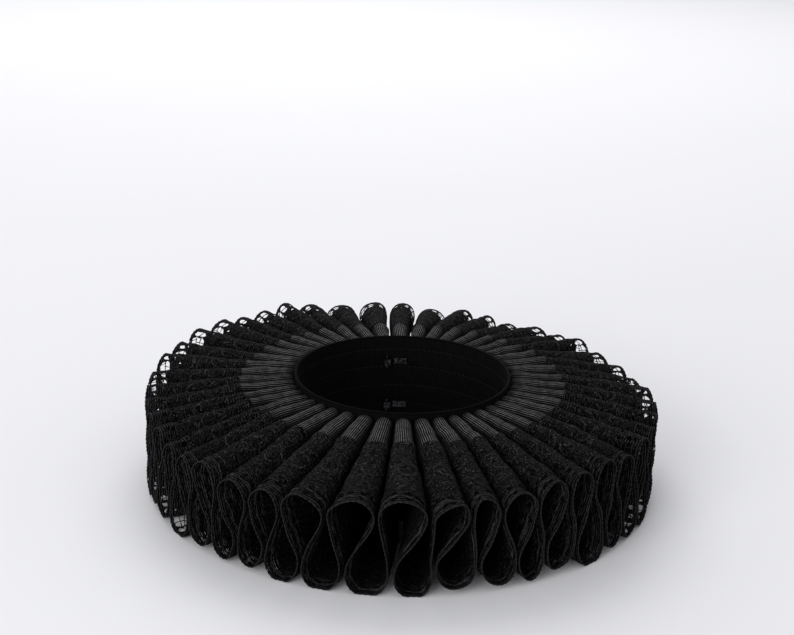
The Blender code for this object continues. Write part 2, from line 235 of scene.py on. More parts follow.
laceLook = {
    "pit": (0.0003, 0.0003, 0.0004), "thread": (0.066, 0.066, 0.069),
    "grain": 1.1 * mm, "curl": 5.5 * mm, "curlReach": 10.0 * mm, "curlPitch": 1.25 * mm,
    "grainShare": 0.40, "curlShare": 0.44, "calm": 0.55,    # grain and curls, and how much cords still them
    "depth": 0.75 * mm, "roughness": 0.85, "specular": 0.04,
    "raised": {"coarse": 0.5, "drawn": 0.7, "arches": 0.9, "cords": 0.9},       # beside grain and curls
    "lightened": {"coarse": 0.24, "arches": 0.25, "drawn": 0.20, "cords": 0.66},
    "rowPitch": 1.6 * mm, "rowZone": (8.5 * mm, 11.0 * mm),     # rows of tiny holes beside the ribbon
    "petalPitch": 10.9 * mm, "petalRadius": 4.3 * mm, "petalPlaces": (15.5 * mm, 24.0 * mm),
    # fine cords along the lace: their pitch, and where each group starts and ends from the ribbon
    # and how strong it is
    "cordPitch": 1.45 * mm, "cordZones": ((32.5 * mm, 37.0 * mm, 0.4), (44.0 * mm, 54.4 * mm, 1.0)),
}


def petals(tree, along, across, place, shift):
    # raised line where the distance from a petal's foot is its radius, above the foot only
    look = laceLook
    turned = calc(tree, "ADD", calc(tree, "DIVIDE", along, look["petalPitch"]), shift)
    beside = calc(tree, "MULTIPLY", calc(tree, "SUBTRACT", calc(tree, "FRACT", turned), 0.5), look["petalPitch"])
    above = calc(tree, "SUBTRACT", across, place)
    away = calc(tree, "SQRT", total(tree, calc(tree, "MULTIPLY", beside, beside),
                                    calc(tree, "MULTIPLY", calc(tree, "MULTIPLY", above, above), 0.6)))
    off = calc(tree, "ABSOLUTE", calc(tree, "SUBTRACT", away, look["petalRadius"]))
    line = between(tree, off, 0.2 * mm, 0.75 * mm, 1.0, 0.0)
    return calc(tree, "MULTIPLY", line, between(tree, above, -1.5 * mm, 0.5 * mm))


def fineCords(tree, places, across):
    # a wave across the lace, bent a little by noise, inside each zone only
    look = laceLook
    bent = calc(tree, "MULTIPLY_ADD", noiseOn(tree, places, 7 * mm), 2.0 * mm, across)
    lines = calc(tree, "POWER", wave(tree, bent, look["cordPitch"]), 2.0)
    zones = total(tree, *(calc(tree, "MULTIPLY", between(tree, across, low, low + 1 * mm),
                               between(tree, across, high - 1 * mm, high, strength, 0.0))
                          for low, high, strength in look["cordZones"]))
    return calc(tree, "MULTIPLY", lines, zones), zones


def laceMaterial():
    # a wave across the lace, swept into curls by noise, with rounded cells and lumps, and with drawn
    # rows, petals and fine cords raised on them
    look = laceLook
    material, tree, shader = newMaterial("dense lace", look["thread"], look["roughness"], look["specular"])
    places, along, strand = uvPlaces(tree)
    across = calc(tree, "SUBTRACT", strand, (strip["ribbonRadius"] - strip["neckRadius"]) * mm)
    lumps = noiseOn(tree, places, 2.2 * mm, 3.0)
    grain = between(tree, cellsOn(tree, places, look["grain"]), 0.10, 0.60, 1.0, 0.0)
    swept = calc(tree, "MULTIPLY_ADD", noiseOn(tree, places, look["curl"], 1.0), look["curlReach"], across)
    curls = calc(tree, "POWER", wave(tree, swept, look["curlPitch"]), 1.5)
    coarse = between(tree, lumps, 0.28, 0.72)
    rows = wave(tree, across, look["rowPitch"])
    holes = calc(tree, "MULTIPLY", calc(tree, "SUBTRACT", 1.0, rows),
                 between(tree, wave(tree, along, 1.25 * look["rowPitch"]), 0.45, 0.9))
    rowZone = between(tree, across, *look["rowZone"], 1.0, 0.0)
    drawn = calc(tree, "MULTIPLY", rowZone, calc(tree, "SUBTRACT", rows, calc(tree, "MULTIPLY", holes, 1.2)))
    arches = total(tree, *(petals(tree, along, across, place, 0.5 * number)
                           for number, place in enumerate(look["petalPlaces"])))
    cords, zones = fineCords(tree, places, across)
    loose = total(tree, calc(tree, "MULTIPLY", grain, look["grainShare"]),
                  calc(tree, "MULTIPLY", curls, look["curlShare"]))
    loose = calc(tree, "MULTIPLY", loose, calc(tree, "MULTIPLY_ADD", zones, -look["calm"], 1.0))
    details = {"coarse": coarse, "drawn": drawn, "arches": arches, "cords": cords}
    height, shade = (total(tree, loose, *(calc(tree, "MULTIPLY", details[name], share)
                                          for name, share in look[use].items()))
                     for use in ("raised", "lightened"))
    blendColours(tree, between(tree, shade, 0.26, 1.40), look["pit"], look["thread"], shader.inputs["Base Color"])
    bumpFrom(tree, height, look["depth"], 0.95, shader)
    return material


cordLook = {"dark": (0.0015, 0.0015, 0.0017), "edge": (0.026, 0.026, 0.027), "thread": (0.018, 0.018, 0.019),
            "twist": 1.1 * mm, "depth": 0.12 * mm, "roughness": 0.7, "specular": 0.10}


def cordMaterial(name, lightest):
    # light and dark turns that run slantwise round the thread
    look = cordLook
    material, tree, shader = newMaterial(name, lightest, look["roughness"], look["specular"])
    places, along, around = uvPlaces(tree)
    twist = wave(tree, calc(tree, "ADD", along, calc(tree, "MULTIPLY", around, look["twist"])), look["twist"])
    blendColours(tree, twist, look["dark"], lightest, shader.inputs["Base Color"])
    bumpFrom(tree, twist, look["depth"], 0.6, shader)
    return material


bandLook = {"dark": (0.0008, 0.0008, 0.0009), "light": (0.006, 0.006, 0.0063), "edge": (0.0030, 0.0030, 0.0032),
            "warp": 1.2 * mm, "weft": 0.8 * mm, "depth": 0.25 * mm, "roughness": 0.85, "specular": 0.04}


def bandMaterial(name, lightest):
    # upright ribs across the tape, crossed by a finer weft
    look = bandLook
    material, tree, shader = newMaterial(name, lightest, look["roughness"], look["specular"])
    places, along, up = uvPlaces(tree)
    weave = calc(tree, "MULTIPLY", wave(tree, along, look["warp"]),
                 calc(tree, "MULTIPLY_ADD", wave(tree, up, look["weft"]), 0.4, 0.6))
    wearAndPaintedShade = noiseOn(tree, places, 5 * mm, 3.0)
    share = total(tree, calc(tree, "MULTIPLY", weave, 0.7), calc(tree, "MULTIPLY", wearAndPaintedShade, 0.5))
    blendColours(tree, between(tree, share, 0.15, 1.05), look["dark"], lightest, shader.inputs["Base Color"])
    bumpFrom(tree, share, look["depth"], 0.8, shader)
    return material


catchLook = {"dark": (0.030, 0.030, 0.034), "wearAndPaintedShade": (0.16, 0.155, 0.15), "roughness": (0.28, 0.5),
             "specular": 0.5, "patch": 1.6 * mm}


def catchMaterial():
    # dark metal, lighter where noise has worn it
    look = catchLook
    material, tree, shader = newMaterial("blackened metal", look["dark"], look["roughness"][0],
                                         look["specular"], metallic=1.0)
    wearAndPaintedShade = noiseOn(tree, objectPlaces(tree), look["patch"], 4.0)
    blendColours(tree, between(tree, wearAndPaintedShade, 0.45, 0.75), look["dark"], look["wearAndPaintedShade"], shader.inputs["Base Color"])
    connect(tree, between(tree, wearAndPaintedShade, 0.3, 0.8, *look["roughness"]), shader.inputs["Roughness"])
    bumpFrom(tree, wearAndPaintedShade, 0.05 * mm, 0.3, shader)
    return material


# The folded strip as a table: bearing and height on a grid of radius and place along the strip.
# Places along the strip are counted in half folds from the slit, 0 to 92.
def ringValue(column, radius):
    return np.interp(radius, rings["radius"], rings[column])


def foldTable(radii, perHalf):
    # Each half fold is a quarter ellipse from its crest, a leg that swings over by a smooth step,
    # and a quarter ellipse to its lower lobe, with the same shares of its length at every radius.
    radius = radii[:, None, None]
    half = np.arange(halfFolds)[None, :, None]
    station = np.linspace(0, 3, 121)[None, None, :]
    fold = half // 2
    side = np.where(half % 2, 1, -1)
    lowFold = np.where(side > 0, fold, fold - 1)
    share = np.clip((radius - strip["ribbonRadius"]) / (strip["rimRadius"] - strip["ribbonRadius"]), 0, None)
    crestSwing, lowSwing, crestRow, liftRow = foldRows.T
    count, pitch, wall = strip["folds"], foldAngle * radius, strip["wall"]

    def crestPlace(number):
        return number + (1 - share) * ribbonSwing[number % count] + share * crestSwing[number % count]

    def lowPlace(number):
        between = (ribbonSwing[number % count] + ribbonSwing[(number + 1) % count]) / 2
        return number + 0.5 + (1 - share) * between + share * lowSwing[number % count]

    crestEdge = (crestPlace(fold) + crestPlace(fold + side)) / 2 * pitch
    lowEdge = (lowPlace(lowFold) + lowPlace(lowFold - side)) / 2 * pitch
    crestX, lowX = crestPlace(fold) * pitch, lowPlace(lowFold) * pitch
    crestReach = crestEdge - side * ringValue("crestGap", radius) / 2 - crestX
    lowReach = lowEdge + side * ringValue("lowGap", radius) / 2 - lowX
    roundOver, roundDrop = strip["endRound"]
    near = np.clip((strip["neckRadius"] + roundOver - radius) / roundOver, 0, 1)
    endDrop = roundDrop * (1 - np.sqrt(1 - near ** 2))
    crestZ = (1 - share) * ringValue("crest", radius) + share * crestRow[fold] - wall / 2 - endDrop
    lift = np.where(np.isnan(liftRow), 0, liftRow)[lowFold % count]
    drop = strip["flatDrop"] * np.isnan(liftRow)[lowFold % count] * ringValue("flatShare", radius)
    lowZ = ringValue("low", radius) + wall / 2 + share * lift - drop + strip["lowRound"] * endDrop
    crestCap, lowCap = ringValue("crestCap", radius), ringValue("lowCap", radius)

    crestTurn = np.clip(station, 0, 1) * pi / 2
    leg = np.clip(station - 1, 0, 1)
    lowTurn = np.clip(3 - station, 0, 1) * pi / 2
    step = leg * leg * (3 - 2 * leg)
    x = np.where(station < 1, crestX + crestReach * np.sin(crestTurn),
                 np.where(station > 2, lowX + lowReach * np.sin(lowTurn),
                          (1 - step) * (crestX + crestReach) + step * (lowX + lowReach)))
    z = np.where(station < 1, crestZ - crestCap * (1 - np.cos(crestTurn)),
                 np.where(station > 2, lowZ + lowCap * (1 - np.cos(lowTurn)),
                          (1 - leg) * (crestZ - crestCap) + leg * (lowZ + lowCap)))
    z = np.maximum(z, wall / 2)

    grow = np.hypot(np.diff(x, axis=2), np.diff(z, axis=2)).cumsum(axis=2)
    keys = np.concatenate([np.zeros_like(grow[:, :, :1]), grow / grow[:, :, -1:]], axis=2)
    rows = np.arange(keys.shape[0] * halfFolds).reshape(keys.shape[0], halfFolds, 1) * 2.0
    places = np.linspace(0, 1, perHalf + 1)[None, None, :]
    wanted = rows + np.where(side > 0, places, 1 - places)
    keys = (keys + rows).ravel()

    def along(values):
        read = np.interp(wanted.ravel(), keys, values.ravel()).reshape(wanted.shape)
        whole = read[:, :, :-1].reshape(len(radii), -1)
        return np.concatenate([whole, read[:, -1, -1:]], axis=1)

    bearing = strip["frontBearing"] + along(x) / radii[:, None] \
        - (strip["frontFold"] - strip["firstFold"]) * foldAngle
    return bearing, along(z)


tableStep = 1.0
tablePerHalf = 96
tableRadii = np.arange(64.0, 158.0, tableStep)
bearingTable, heightTable = foldTable(tableRadii, tablePerHalf)
print("strip: table of", bearingTable.shape, "places")


def waverAt(place, radius):
    # slow waves of random length along and across the strip, added up, and shorter ones on them
    random = np.random.default_rng(strip["seed"])
    result = np.zeros(np.broadcast(place, radius).shape)
    for least, most, size in (((0.15, -0.05, 0), (1.1, 0.05, 1), strip["waver"]),
                              ((0.8, -0.11, 0), (2.6, 0.11, 1), strip["pucker"])):
        for wavePlace, waveRadius, phase in random.uniform(least, most, (9, 3)):
            result = result + size / 3 * np.sin(2 * pi * (wavePlace * place + waveRadius * radius + phase))
    return result


def stripPoint(place, radius):
    # bearing and height are read between the four nearest values of the table
    place, radius = np.broadcast_arrays(np.asarray(place, float), np.asarray(radius, float))
    column = np.clip(place * tablePerHalf, 0, bearingTable.shape[1] - 1.0001)
    row = np.clip((radius - tableRadii[0]) / tableStep, 0, len(tableRadii) - 1.0001)
    i, j = column.astype(int), row.astype(int)
    right, out = column - i, row - j

    def read(table):
        return (1 - out) * ((1 - right) * table[j, i] + right * table[j, i + 1]) \
            + out * ((1 - right) * table[j + 1, i] + right * table[j + 1, i + 1])

    height = read(heightTable)
    (leastHeight, rise), (leastRadius, reach) = strip["heldHeight"], strip["heldRadius"]
    free = np.clip((height - leastHeight) / rise, 0, 1) * np.clip((radius - leastRadius) / reach, 0, 1)
    bobShare, bobShift = strip["bob"]
    sway = free * waverAt(place, radius)
    bob = bobShare * free * waverAt(place + bobShift, radius)
    bearing = read(bearingTable) + sway / radius
    height = np.maximum(height + bob, strip["wall"] / 2)
    return np.stack([radius * np.cos(bearing), radius * np.sin(bearing), height], axis=-1) * mm


def unit(vectors):
    return vectors / np.maximum(np.linalg.norm(vectors, axis=-1, keepdims=True), 1e-12)


def stripNormal(place, radius):
    # outwards from the crests: the way outwards crossed with the way along the strip
    outwards = stripPoint(place, radius + 0.8) - stripPoint(place, radius - 0.8)
    onwards = stripPoint(place + 0.012, radius) - stripPoint(place - 0.012, radius)
    return unit(np.cross(outwards, onwards))


def stripMap(place, radius):
    # metres along the strip and across it from the neck
    place, radius = np.broadcast_arrays(place, radius)
    return np.stack([place * strip["halfLength"] * mm, (radius - strip["neckRadius"]) * mm], axis=-1)


# Meshes
def addPiece(name, points, faces, uv, material, sharp=50):
    mesh = bpy.data.meshes.new(name)
    mesh.from_pydata(points.reshape(-1, 3), [], faces)
    corners = np.empty(len(mesh.loops), np.int32)
    mesh.loops.foreach_get("vertex_index", corners)
    mesh.uv_layers.new(name="UVMap").uv.foreach_set("vector", uv.reshape(-1, 2)[corners].ravel())
    mesh.materials.append(material)
    mesh.shade_smooth()
    mesh.set_sharp_from_angle(angle=radians(sharp))
    piece = bpy.data.objects.new(name, mesh)
    bpy.context.scene.collection.objects.link(piece)
    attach(piece, "root")
    mesh.calc_loop_triangles()
    print(f"{name}: {len(mesh.loop_triangles)} triangles")
    return piece


def gridFaces(rows, columns):
    # four corners of each cell, the way outwards first
    low = (np.arange(rows - 1)[:, None] * columns + np.arange(columns - 1)[None, :]).ravel()
    return np.stack([low, low + columns, low + columns + 1, low + 1], axis=1)


def wallOf(place, radius, faces, half):
    # the surface moved half its thickness to each side, with a rim along every open edge
    points, normals = stripPoint(place, radius), stripNormal(place, radius)
    count = len(points)
    upper, lower = points + normals * half[:, None] * mm, points - normals * half[:, None] * mm
    starts, ends = faces.ravel(), np.roll(faces, -1, axis=1).ravel()
    open_ = ~np.isin(starts.astype(np.int64) * count + ends, ends.astype(np.int64) * count + starts)
    a, b = starts[open_], ends[open_]
    rim = np.stack([a + count, b + count, b, a], axis=1)
    both = np.concatenate([upper, lower])
    both[:, 2] = np.maximum(both[:, 2], 0.02 * mm)
    uv = stripMap(place, radius)
    return both, faces.tolist() + (faces[:, ::-1] + count).tolist() + rim.tolist(), np.concatenate([uv, uv])


def placesAlong(first, last, perHalf):
    # columns along the strip, closer together at crests and lower lobes
    even = np.linspace(first, last, round((last - first) * perHalf) + 1)
    whole = np.floor(even)
    part = even - whole
    return whole + part - strip["crowding"] * np.sin(2 * pi * part) / (2 * pi)


endCut = strip["slit"] / 2 / strip["halfLength"]
middlePlace = 46                # where the two lengths of lace meet, at the front
laceEnds = {"left": (endCut, middlePlace), "right": (middlePlace, halfFolds - endCut)}

ribbonPiece = {
    "perHalf": 24,
    "radii": (66.0, 66.3, 67.0, 68.1, 69.6, 71.6, 76.0, 82.0, 88.0, 94.0, 100.0),
    "half": 0.42,
}


def ribbonRuffle(material):
    piece = ribbonPiece
    columns = placesAlong(0, halfFolds, piece["perHalf"])
    columns[0], columns[-1] = endCut, halfFolds - endCut
    place, radius = (grid.ravel() for grid in np.meshgrid(columns, piece["radii"]))
    faces = gridFaces(len(piece["radii"]), len(columns))
    points, faces, uv = wallOf(place, radius, faces, np.full(len(place), piece["half"]))
    ruffle = addPiece("ribbonRuffle", points, faces, uv, material)
    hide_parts("ribbon_ruffle")
    return ruffle


lacePiece = {
    "perHalf": 24,
    "half": 0.42,
    "heading": ((98.6, 0.55), (98.9, 0.78), (100.3, 0.78), (101.0, 0.48)),   # lapped over the ribbon
    "arches": (0.8, 6),         # how far its edge goes in and out, and how often in half a fold
    "archesEnd": (101.5, 1.5),      # none beyond this radius, and full so far inside it
    "plainRadii": (103.5, 106.5, 109.5, 112.5, 116.0, 119.5, 123.0, 126.5, 130.0, 133.0, 136.0, 139.0),
}


def laceBody(side, material):
    piece = lacePiece
    rows = np.array(list(piece["heading"]) + [(radius, piece["half"]) for radius in piece["plainRadii"]])
    first, last = laceEnds[side]
    columns = placesAlong(round(first), round(last), piece["perHalf"])
    columns[0], columns[-1] = first, last
    place, radius = (grid.ravel() for grid in np.meshgrid(columns, rows[:, 0]))
    half = np.repeat(rows[:, 1], len(columns))
    reach, count = piece["arches"]
    arch = np.abs(np.sin(pi * count * place)) - 0.5
    end, fade = piece["archesEnd"]
    radius = radius - reach * arch * np.clip((end - radius) / fade, 0, 1)
    points, faces, uv = wallOf(place, radius, gridFaces(len(rows), len(columns)), half)
    body = addPiece(f"lace{side.capitalize()}", points, faces, uv, material, sharp=70)
    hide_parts(f"lace_{side}")
    return body


# The openwork border. A repeat of the pattern is a third of half a fold, 21.9 mm of lace.
borderPiece = {
    "repeats": 3,               # in half a fold
    "perRepeat": 20,
    "radii": (139.0, 139.9, 140.8, 141.7, 142.8, 144.0, 145.1, 146.4, 147.8, 149.2, 150.5, 151.6,
              152.6, 153.6, 155.3),
    "half": 0.30,
    # holes: place from the middle of the repeat, radius, half width, half height, corner; in mm
    "holes": ((0.0, 148.6, 4.3, 4.4, 2.6), (7.4, 148.5, 1.8, 3.8, 1.6)),
    "eyelets": ((0.0, 140.9, 1.2, 1.2, 1.2), (4.6, 140.9, 0.9, 0.9, 0.9), (10.9, 141.0, 1.25, 1.25, 1.2)),
    "wobble": 0.42,             # how uneven the holes are
    "closeHalves": 14,          # half folds to each side of the front with closer lace and no eyelets
    "leastCloth": 0.03,         # corners nearer to an edge than this count as cloth
    "cuts": (0.06, 0.94),       # nearest that an edge crosses a cell's side to its corners
    "edge": (154.55, 0.45),     # radius of the edge, and how far it swells and shrinks in a repeat
}
repeatLength = strip["halfLength"] / borderPiece["repeats"]


def edgeRadius(place):
    middle, swell = borderPiece["edge"]
    return middle - swell * np.cos(2 * pi * borderPiece["repeats"] * place)


def clothAt(place, radius):
    # distance to the nearest edge in mm, above 0 on cloth. A hole is a box with round corners,
    # with its outline wavy and no two alike.
    turned = place * borderPiece["repeats"]
    number = np.floor(turned)
    offset = (turned % 1 - 0.5) * repeatLength
    beside = np.abs(offset)
    size = 0.06 * np.sin(12.9 * number)
    wobble = borderPiece["wobble"] * np.sin(1.9 * offset + 4.7 * number) * np.sin(1.6 * radius + 2.3 * number)
    closed = 3.0 * (np.abs(place - middlePlace) < borderPiece["closeHalves"])      # fills the eyelets
    nearest = edgeRadius(place) - radius
    holes = [(hole, 0.0) for hole in borderPiece["holes"]] + [(hole, closed) for hole in borderPiece["eyelets"]]
    for (middle, middleRadius, halfWidth, halfHeight, corner), fill in holes:
        x = np.abs(beside - middle) - (halfWidth * (1 + size) - corner)
        y = np.abs(radius - middleRadius) - (halfHeight * (1 + size) - corner)
        box = np.hypot(np.maximum(x, 0), np.maximum(y, 0)) + np.minimum(np.maximum(x, y), 0) - corner
        nearest = np.minimum(nearest, box + wobble + fill)
    return nearest


def cellFans():
    # for each of the 16 ways that a cell's corners lie on cloth, the triangles that cover it;
    # 0 to 3 are its corners and 4 to 7 the points where its sides leave the cloth
    fans = []
    for case in range(16):
        on = [bool(case >> corner & 1) for corner in range(4)]
        shape = []
        for corner in range(4):
            shape += [corner] * on[corner] + [4 + corner] * (on[corner] != on[(corner + 1) % 4])
        fans.append([(shape[0], shape[k], shape[k + 1]) for k in range(1, len(shape) - 1)])
    return fans


def laceBorder(side, material):
    piece = borderPiece
    first, last = laceEnds[side]
    count = round(last - first) * piece["repeats"] * piece["perRepeat"]
    columns = np.linspace(round(first), round(last), count + 1)
    columns[0], columns[-1] = first, last
    place, radius = np.meshgrid(columns, piece["radii"])
    rows, wide = place.shape
    cloth = clothAt(place, radius)
    cloth = np.where(np.abs(cloth) < piece["leastCloth"], piece["leastCloth"], cloth)

    def crossing(a, b):         # where the cloth ends on the sides between two arrays of corners
        share = np.clip(cloth[a] / (cloth[a] - cloth[b] + 1e-12), *piece["cuts"])
        return place[a] + share * (place[b] - place[a]), radius[a] + share * (radius[b] - radius[a])

    level = crossing(np.s_[:, :-1], np.s_[:, 1:])
    upright = crossing(np.s_[:-1, :], np.s_[1:, :])
    places = np.concatenate([place.ravel(), level[0].ravel(), upright[0].ravel()])
    radii = np.concatenate([radius.ravel(), level[1].ravel(), upright[1].ravel()])
    row, column = np.mgrid[:rows - 1, :wide - 1]
    corner = row * wide + column
    levelStart, uprightStart = rows * wide, rows * wide + rows * (wide - 1)
    levelSide = levelStart + row * (wide - 1) + column
    uprightSide = uprightStart + row * wide + column
    # corners go outwards first, so that the faces look away from the crests
    ids = np.stack([corner, corner + wide, corner + wide + 1, corner + 1,
                    uprightSide, levelSide + wide - 1, uprightSide + 1, levelSide])
    on = (cloth > 0).astype(int)
    case = on[:-1, :-1] + 2 * on[1:, :-1] + 4 * on[1:, 1:] + 8 * on[:-1, 1:]
    triangles = [np.stack([ids[k][case == number] for k in fan], axis=1)
                 for number, fans in enumerate(cellFans()) for fan in fans]
    used, faces = np.unique(np.concatenate(triangles), return_inverse=True)
    place, radius = places[used], radii[used]
    half = np.full(len(place), piece["half"])
    points, faces, uv = wallOf(place, radius, faces.reshape(-1, 3), half)
    return addPiece(f"laceBorder{side.capitalize()}", points, faces, uv, material, sharp=60)


def tubes(name, place, radius, thick, sides, material, asCloth=False):
    # Round threads on the strip: a row of place, radius and thickness for each thread's points,
    # and a ring of corners round every point. The map runs along and round each thread, or it is
    # the cloth's own.
    paths, guides = stripPoint(place, radius), stripNormal(place, radius)
    onwards = unit(np.gradient(paths, axis=1))
    beside = unit(np.cross(guides, onwards))
    above = np.cross(onwards, beside)
    turn = np.arange(sides) * 2 * pi / sides
    ring = np.cos(turn)[:, None] * beside[:, :, None] + np.sin(turn)[:, None] * above[:, :, None]
    points = paths[:, :, None] + ring * thick[:, :, None, None] * mm
    points[..., 2] = np.maximum(points[..., 2], 0.0)
    threads, steps = place.shape
    start = (np.arange(threads * steps) * sides).reshape(threads, steps, 1)
    here, after = np.arange(sides), (np.arange(sides) + 1) % sides
    low, high = start[:, :-1], start[:, 1:]
    quads = np.stack([low + here, low + after, high + after, high + here], axis=-1).reshape(-1, 4)
    ends = np.concatenate([start[:, 0] + here[::-1], start[:, -1] + here])
    length = np.concatenate([np.zeros((threads, 1)),
                             np.linalg.norm(np.diff(paths, axis=1), axis=2).cumsum(axis=1)], axis=1)
    uv = np.stack(np.broadcast_arrays(length[:, :, None], turn / (2 * pi)), axis=-1)
    if asCloth:
        uv = stripMap(place[:, :, None], radius[:, :, None] + thick[:, :, None] * np.cos(turn))
    return addPiece(name, points, quads.tolist() + ends.tolist(), uv, material, sharp=80)


# a cord along the lace's edge, thicker at every third point
edgeCord = {"perRepeat": 24, "half": 0.24, "picot": 0.26, "picotEvery": 3, "sides": 5}


def laceEdge(side, material):
    first, last = laceEnds[side]
    count = round(last - first) * borderPiece["repeats"] * edgeCord["perRepeat"]
    place = np.linspace(first, last, count + 1)[None, :]
    knots = np.arange(count + 1) % edgeCord["picotEvery"] == 0
    thick = (edgeCord["half"] + edgeCord["picot"] * knots)[None, :]
    return tubes(f"laceEdge{side.capitalize()}", place, edgeRadius(place), thick, edgeCord["sides"],
                 material)


# Threads across the gaps of one repeat: from and to, each as mm beside its middle and radius.
# Towards the front close cords run along the whole repeat as well.
web = {
    "threads": (((-4.8, 146.6), (4.8, 147.2)), ((-4.8, 150.3), (4.8, 149.7)),
                ((-1.2, 143.6), (-1.9, 150.2)), ((1.7, 146.8), (1.1, 153.3)), ((-3.2, 149.9), (-2.2, 153.2)),
                ((2.9, 143.9), (2.2, 147.0)), ((5.2, 149.2), (9.4, 147.6)), ((-9.4, 147.4), (-5.2, 148.8))),
    "half": (0.15, 0.26),       # thinnest and thickest
    "spread": 0.9,              # how much thicker they are where they join the cloth
    "stray": 0.55, "bow": 0.40, "steps": 4, "sides": 4, "seed": 5,
    "closeRadii": (144.6, 145.75, 146.9, 148.05, 149.2, 150.35, 151.5, 152.6),
    "closeHalf": 0.50, "closeSteps": 9, "closeBow": 0.25,
}


def threadPlaces(side, middle, ends, bow, steps):
    # places along the strip and radii of threads between two ends, bowed between them
    share = np.linspace(0, 1, steps)
    lines = ends[:, 0, None] * (1 - share[:, None]) + ends[:, 1, None] * share[:, None] \
        + bow[:, None] * np.sin(pi * share[:, None])
    place = middle[:, None] + lines[..., 0] / repeatLength / borderPiece["repeats"]
    return np.clip(place, *laceEnds[side]), lines[..., 1]


def laceWeb(side, material):
    # every thread strays a little at both ends and is thicker there
    first, last = (round(end) for end in laceEnds[side])
    repeats = (np.arange((last - first) * borderPiece["repeats"]) + 0.5) / borderPiece["repeats"] + first
    random = np.random.default_rng(web["seed"])
    ends = np.tile(web["threads"], (len(repeats), 1, 1))
    ends = ends + random.uniform(-web["stray"], web["stray"], ends.shape)
    bow = random.uniform(-web["bow"], web["bow"], (len(ends), 2))
    place, radius = threadPlaces(side, np.repeat(repeats, len(web["threads"])), ends, bow, web["steps"])
    joining = 1 + web["spread"] * (2 * np.linspace(0, 1, web["steps"]) - 1) ** 2
    thick = random.uniform(*web["half"], (len(ends), 1)) * joining
    return tubes(f"laceWeb{side.capitalize()}", place, radius, thick, web["sides"], material)


def laceCords(side, material):
    # close cords along the border towards the front, each bowed a little in every repeat
    first, last = (round(end) for end in laceEnds[side])
    repeats = (np.arange((last - first) * borderPiece["repeats"]) + 0.5) / borderPiece["repeats"] + first
    repeats = repeats[np.abs(repeats - middlePlace) < borderPiece["closeHalves"]]
    radii = np.tile(web["closeRadii"], len(repeats))
    beside = np.full(len(radii), repeatLength / 2)
    ends = np.stack([np.stack([-beside, radii], axis=1), np.stack([beside, radii], axis=1)], axis=1)
    random = np.random.default_rng(web["seed"] + 1)
    bow = random.uniform(-web["closeBow"], web["closeBow"], (len(ends), 2)) * (0, 1)
    middle = np.repeat(repeats, len(web["closeRadii"]))
    place, radius = threadPlaces(side, middle, ends, bow, web["closeSteps"])
    thick = np.full(place.shape, web["closeHalf"])
    return tubes(f"laceCords{side.capitalize()}", place, radius, thick, web["sides"], material,
                 asCloth=True)


# Neckband: a tape with a bound upper edge, open at the centre back
band = {
    "outer": 65.7, "inner": 64.2, "low": 0.1, "high": 68.0, "slit": 0.1,
    "sides": 276,
    "bindingHeight": 1.8, "bindingSwell": 0.15,
    "seamHeights": (8.0, 21.0, 34.0, 47.0, 59.0), "seamDip": 0.18, "seamHalf": 0.9,
    "stitchPitch": 3.1, "stitchLength": 2.1, "stitchHalf": 0.22, "stitchSink": 0.12, "stitchSides": 4,
}
slitBearing = strip["frontBearing"] \
    + (strip["firstFold"] - 0.5 + (ribbonSwing[-1] + ribbonSwing[0]) / 2 - strip["frontFold"]) * foldAngle


def roundCorner(radius, height, size, start, steps=5):
    turn = np.radians(start + np.linspace(0, 90, steps))
    return [(radius + size * cos(t), height + size * sin(t)) for t in turn]


def bandProfile(low, high, inner, outer, dips):
    # closed outline of the tape's section, from its outer foot upwards, with dips at the seams
    corner = (outer - inner) / 2 * 0.98
    middle = (outer + inner) / 2
    outline = roundCorner(middle, low + corner, corner, 270) + roundCorner(middle, high - corner, corner, 0)
    outline += roundCorner(middle, high - corner, corner, 90)[1:]
    for seam in sorted(dips, reverse=True):
        for step, depth in ((band["seamHalf"], 0.0), (0.0, band["seamDip"]), (-band["seamHalf"], 0.0)):
            outline.append((inner + depth, seam + step))
    outline += roundCorner(middle, low + corner, corner, 180)[:-1]
    return np.array(outline)


def bandSweep(name, outline, material):
    # the outline carried round the ring from one side of the slit to the other, closed at both ends
    half = band["slit"] / 2 / band["outer"]
    bearing = np.linspace(slitBearing + half, slitBearing + 2 * pi - half, band["sides"] + 1)[:, None]
    radius, height = outline[:, 0], outline[:, 1]
    points = np.stack([radius * np.cos(bearing), radius * np.sin(bearing),
                       np.broadcast_to(height, (len(bearing), len(height)))], axis=-1) * mm
    count = len(outline)
    here, after = np.arange(count), (np.arange(count) + 1) % count
    start = (np.arange(band["sides"]) * count)[:, None]
    quads = np.stack([start + here, start + after, start + count + after, start + count + here], axis=-1)
    quads = quads.reshape(-1, 4)[:, ::-1]
    ends = [here.tolist(), (band["sides"] * count + here[::-1]).tolist()]
    reach = np.concatenate([[0], np.linalg.norm(np.diff(outline, axis=0), axis=1).cumsum()])
    uv = np.stack(np.broadcast_arrays(bearing * band["outer"] * mm, reach * mm), axis=-1)
    return addPiece(name, points, quads.tolist() + ends, uv, material, sharp=40)


def neckband(material, edgeMaterial):
    split = band["high"] - band["bindingHeight"]
    tape = bandSweep("neckTape", bandProfile(band["low"], split + 1.0, band["inner"], band["outer"],
                                             band["seamHeights"]), material)
    swell = band["bindingSwell"]
    binding = bandSweep("neckBinding", bandProfile(split, band["high"], band["inner"] - swell,
                                                   band["outer"] + swell * 0.3, ()), edgeMaterial)
    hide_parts("neckband")
    return tape, binding


